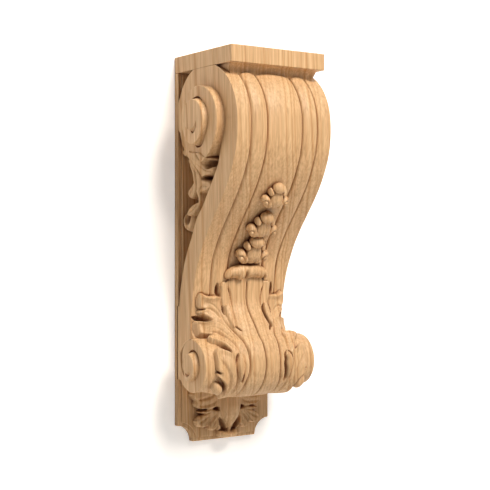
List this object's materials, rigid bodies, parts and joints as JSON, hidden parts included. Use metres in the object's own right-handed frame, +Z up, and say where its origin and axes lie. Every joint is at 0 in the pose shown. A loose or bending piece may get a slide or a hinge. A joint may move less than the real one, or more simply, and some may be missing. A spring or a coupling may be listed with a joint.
{
  "type": "corbel bracket",
  "caption": "Carved oak corbel with a square cap, reeded S-scroll, side volutes, husk chain and acanthus leaf on a shaped back board.",
  "frame": {"origin": "middle of the flat back face, where the corbel is fixed to the wall", "axes": "+Z up, +Y into the wall, +X to the right along the wall as seen from the room; the carved front faces -Y"},
  "size_m": [0.151, 0.1197, 0.4],
  "materials": {
    "oak": "carved solid oak, sanded smooth, bare with a soft satin sheen"
  },
  "bodies": {
    "root": {"carved_corbel": "oak"}
  },
  "joints": []
}
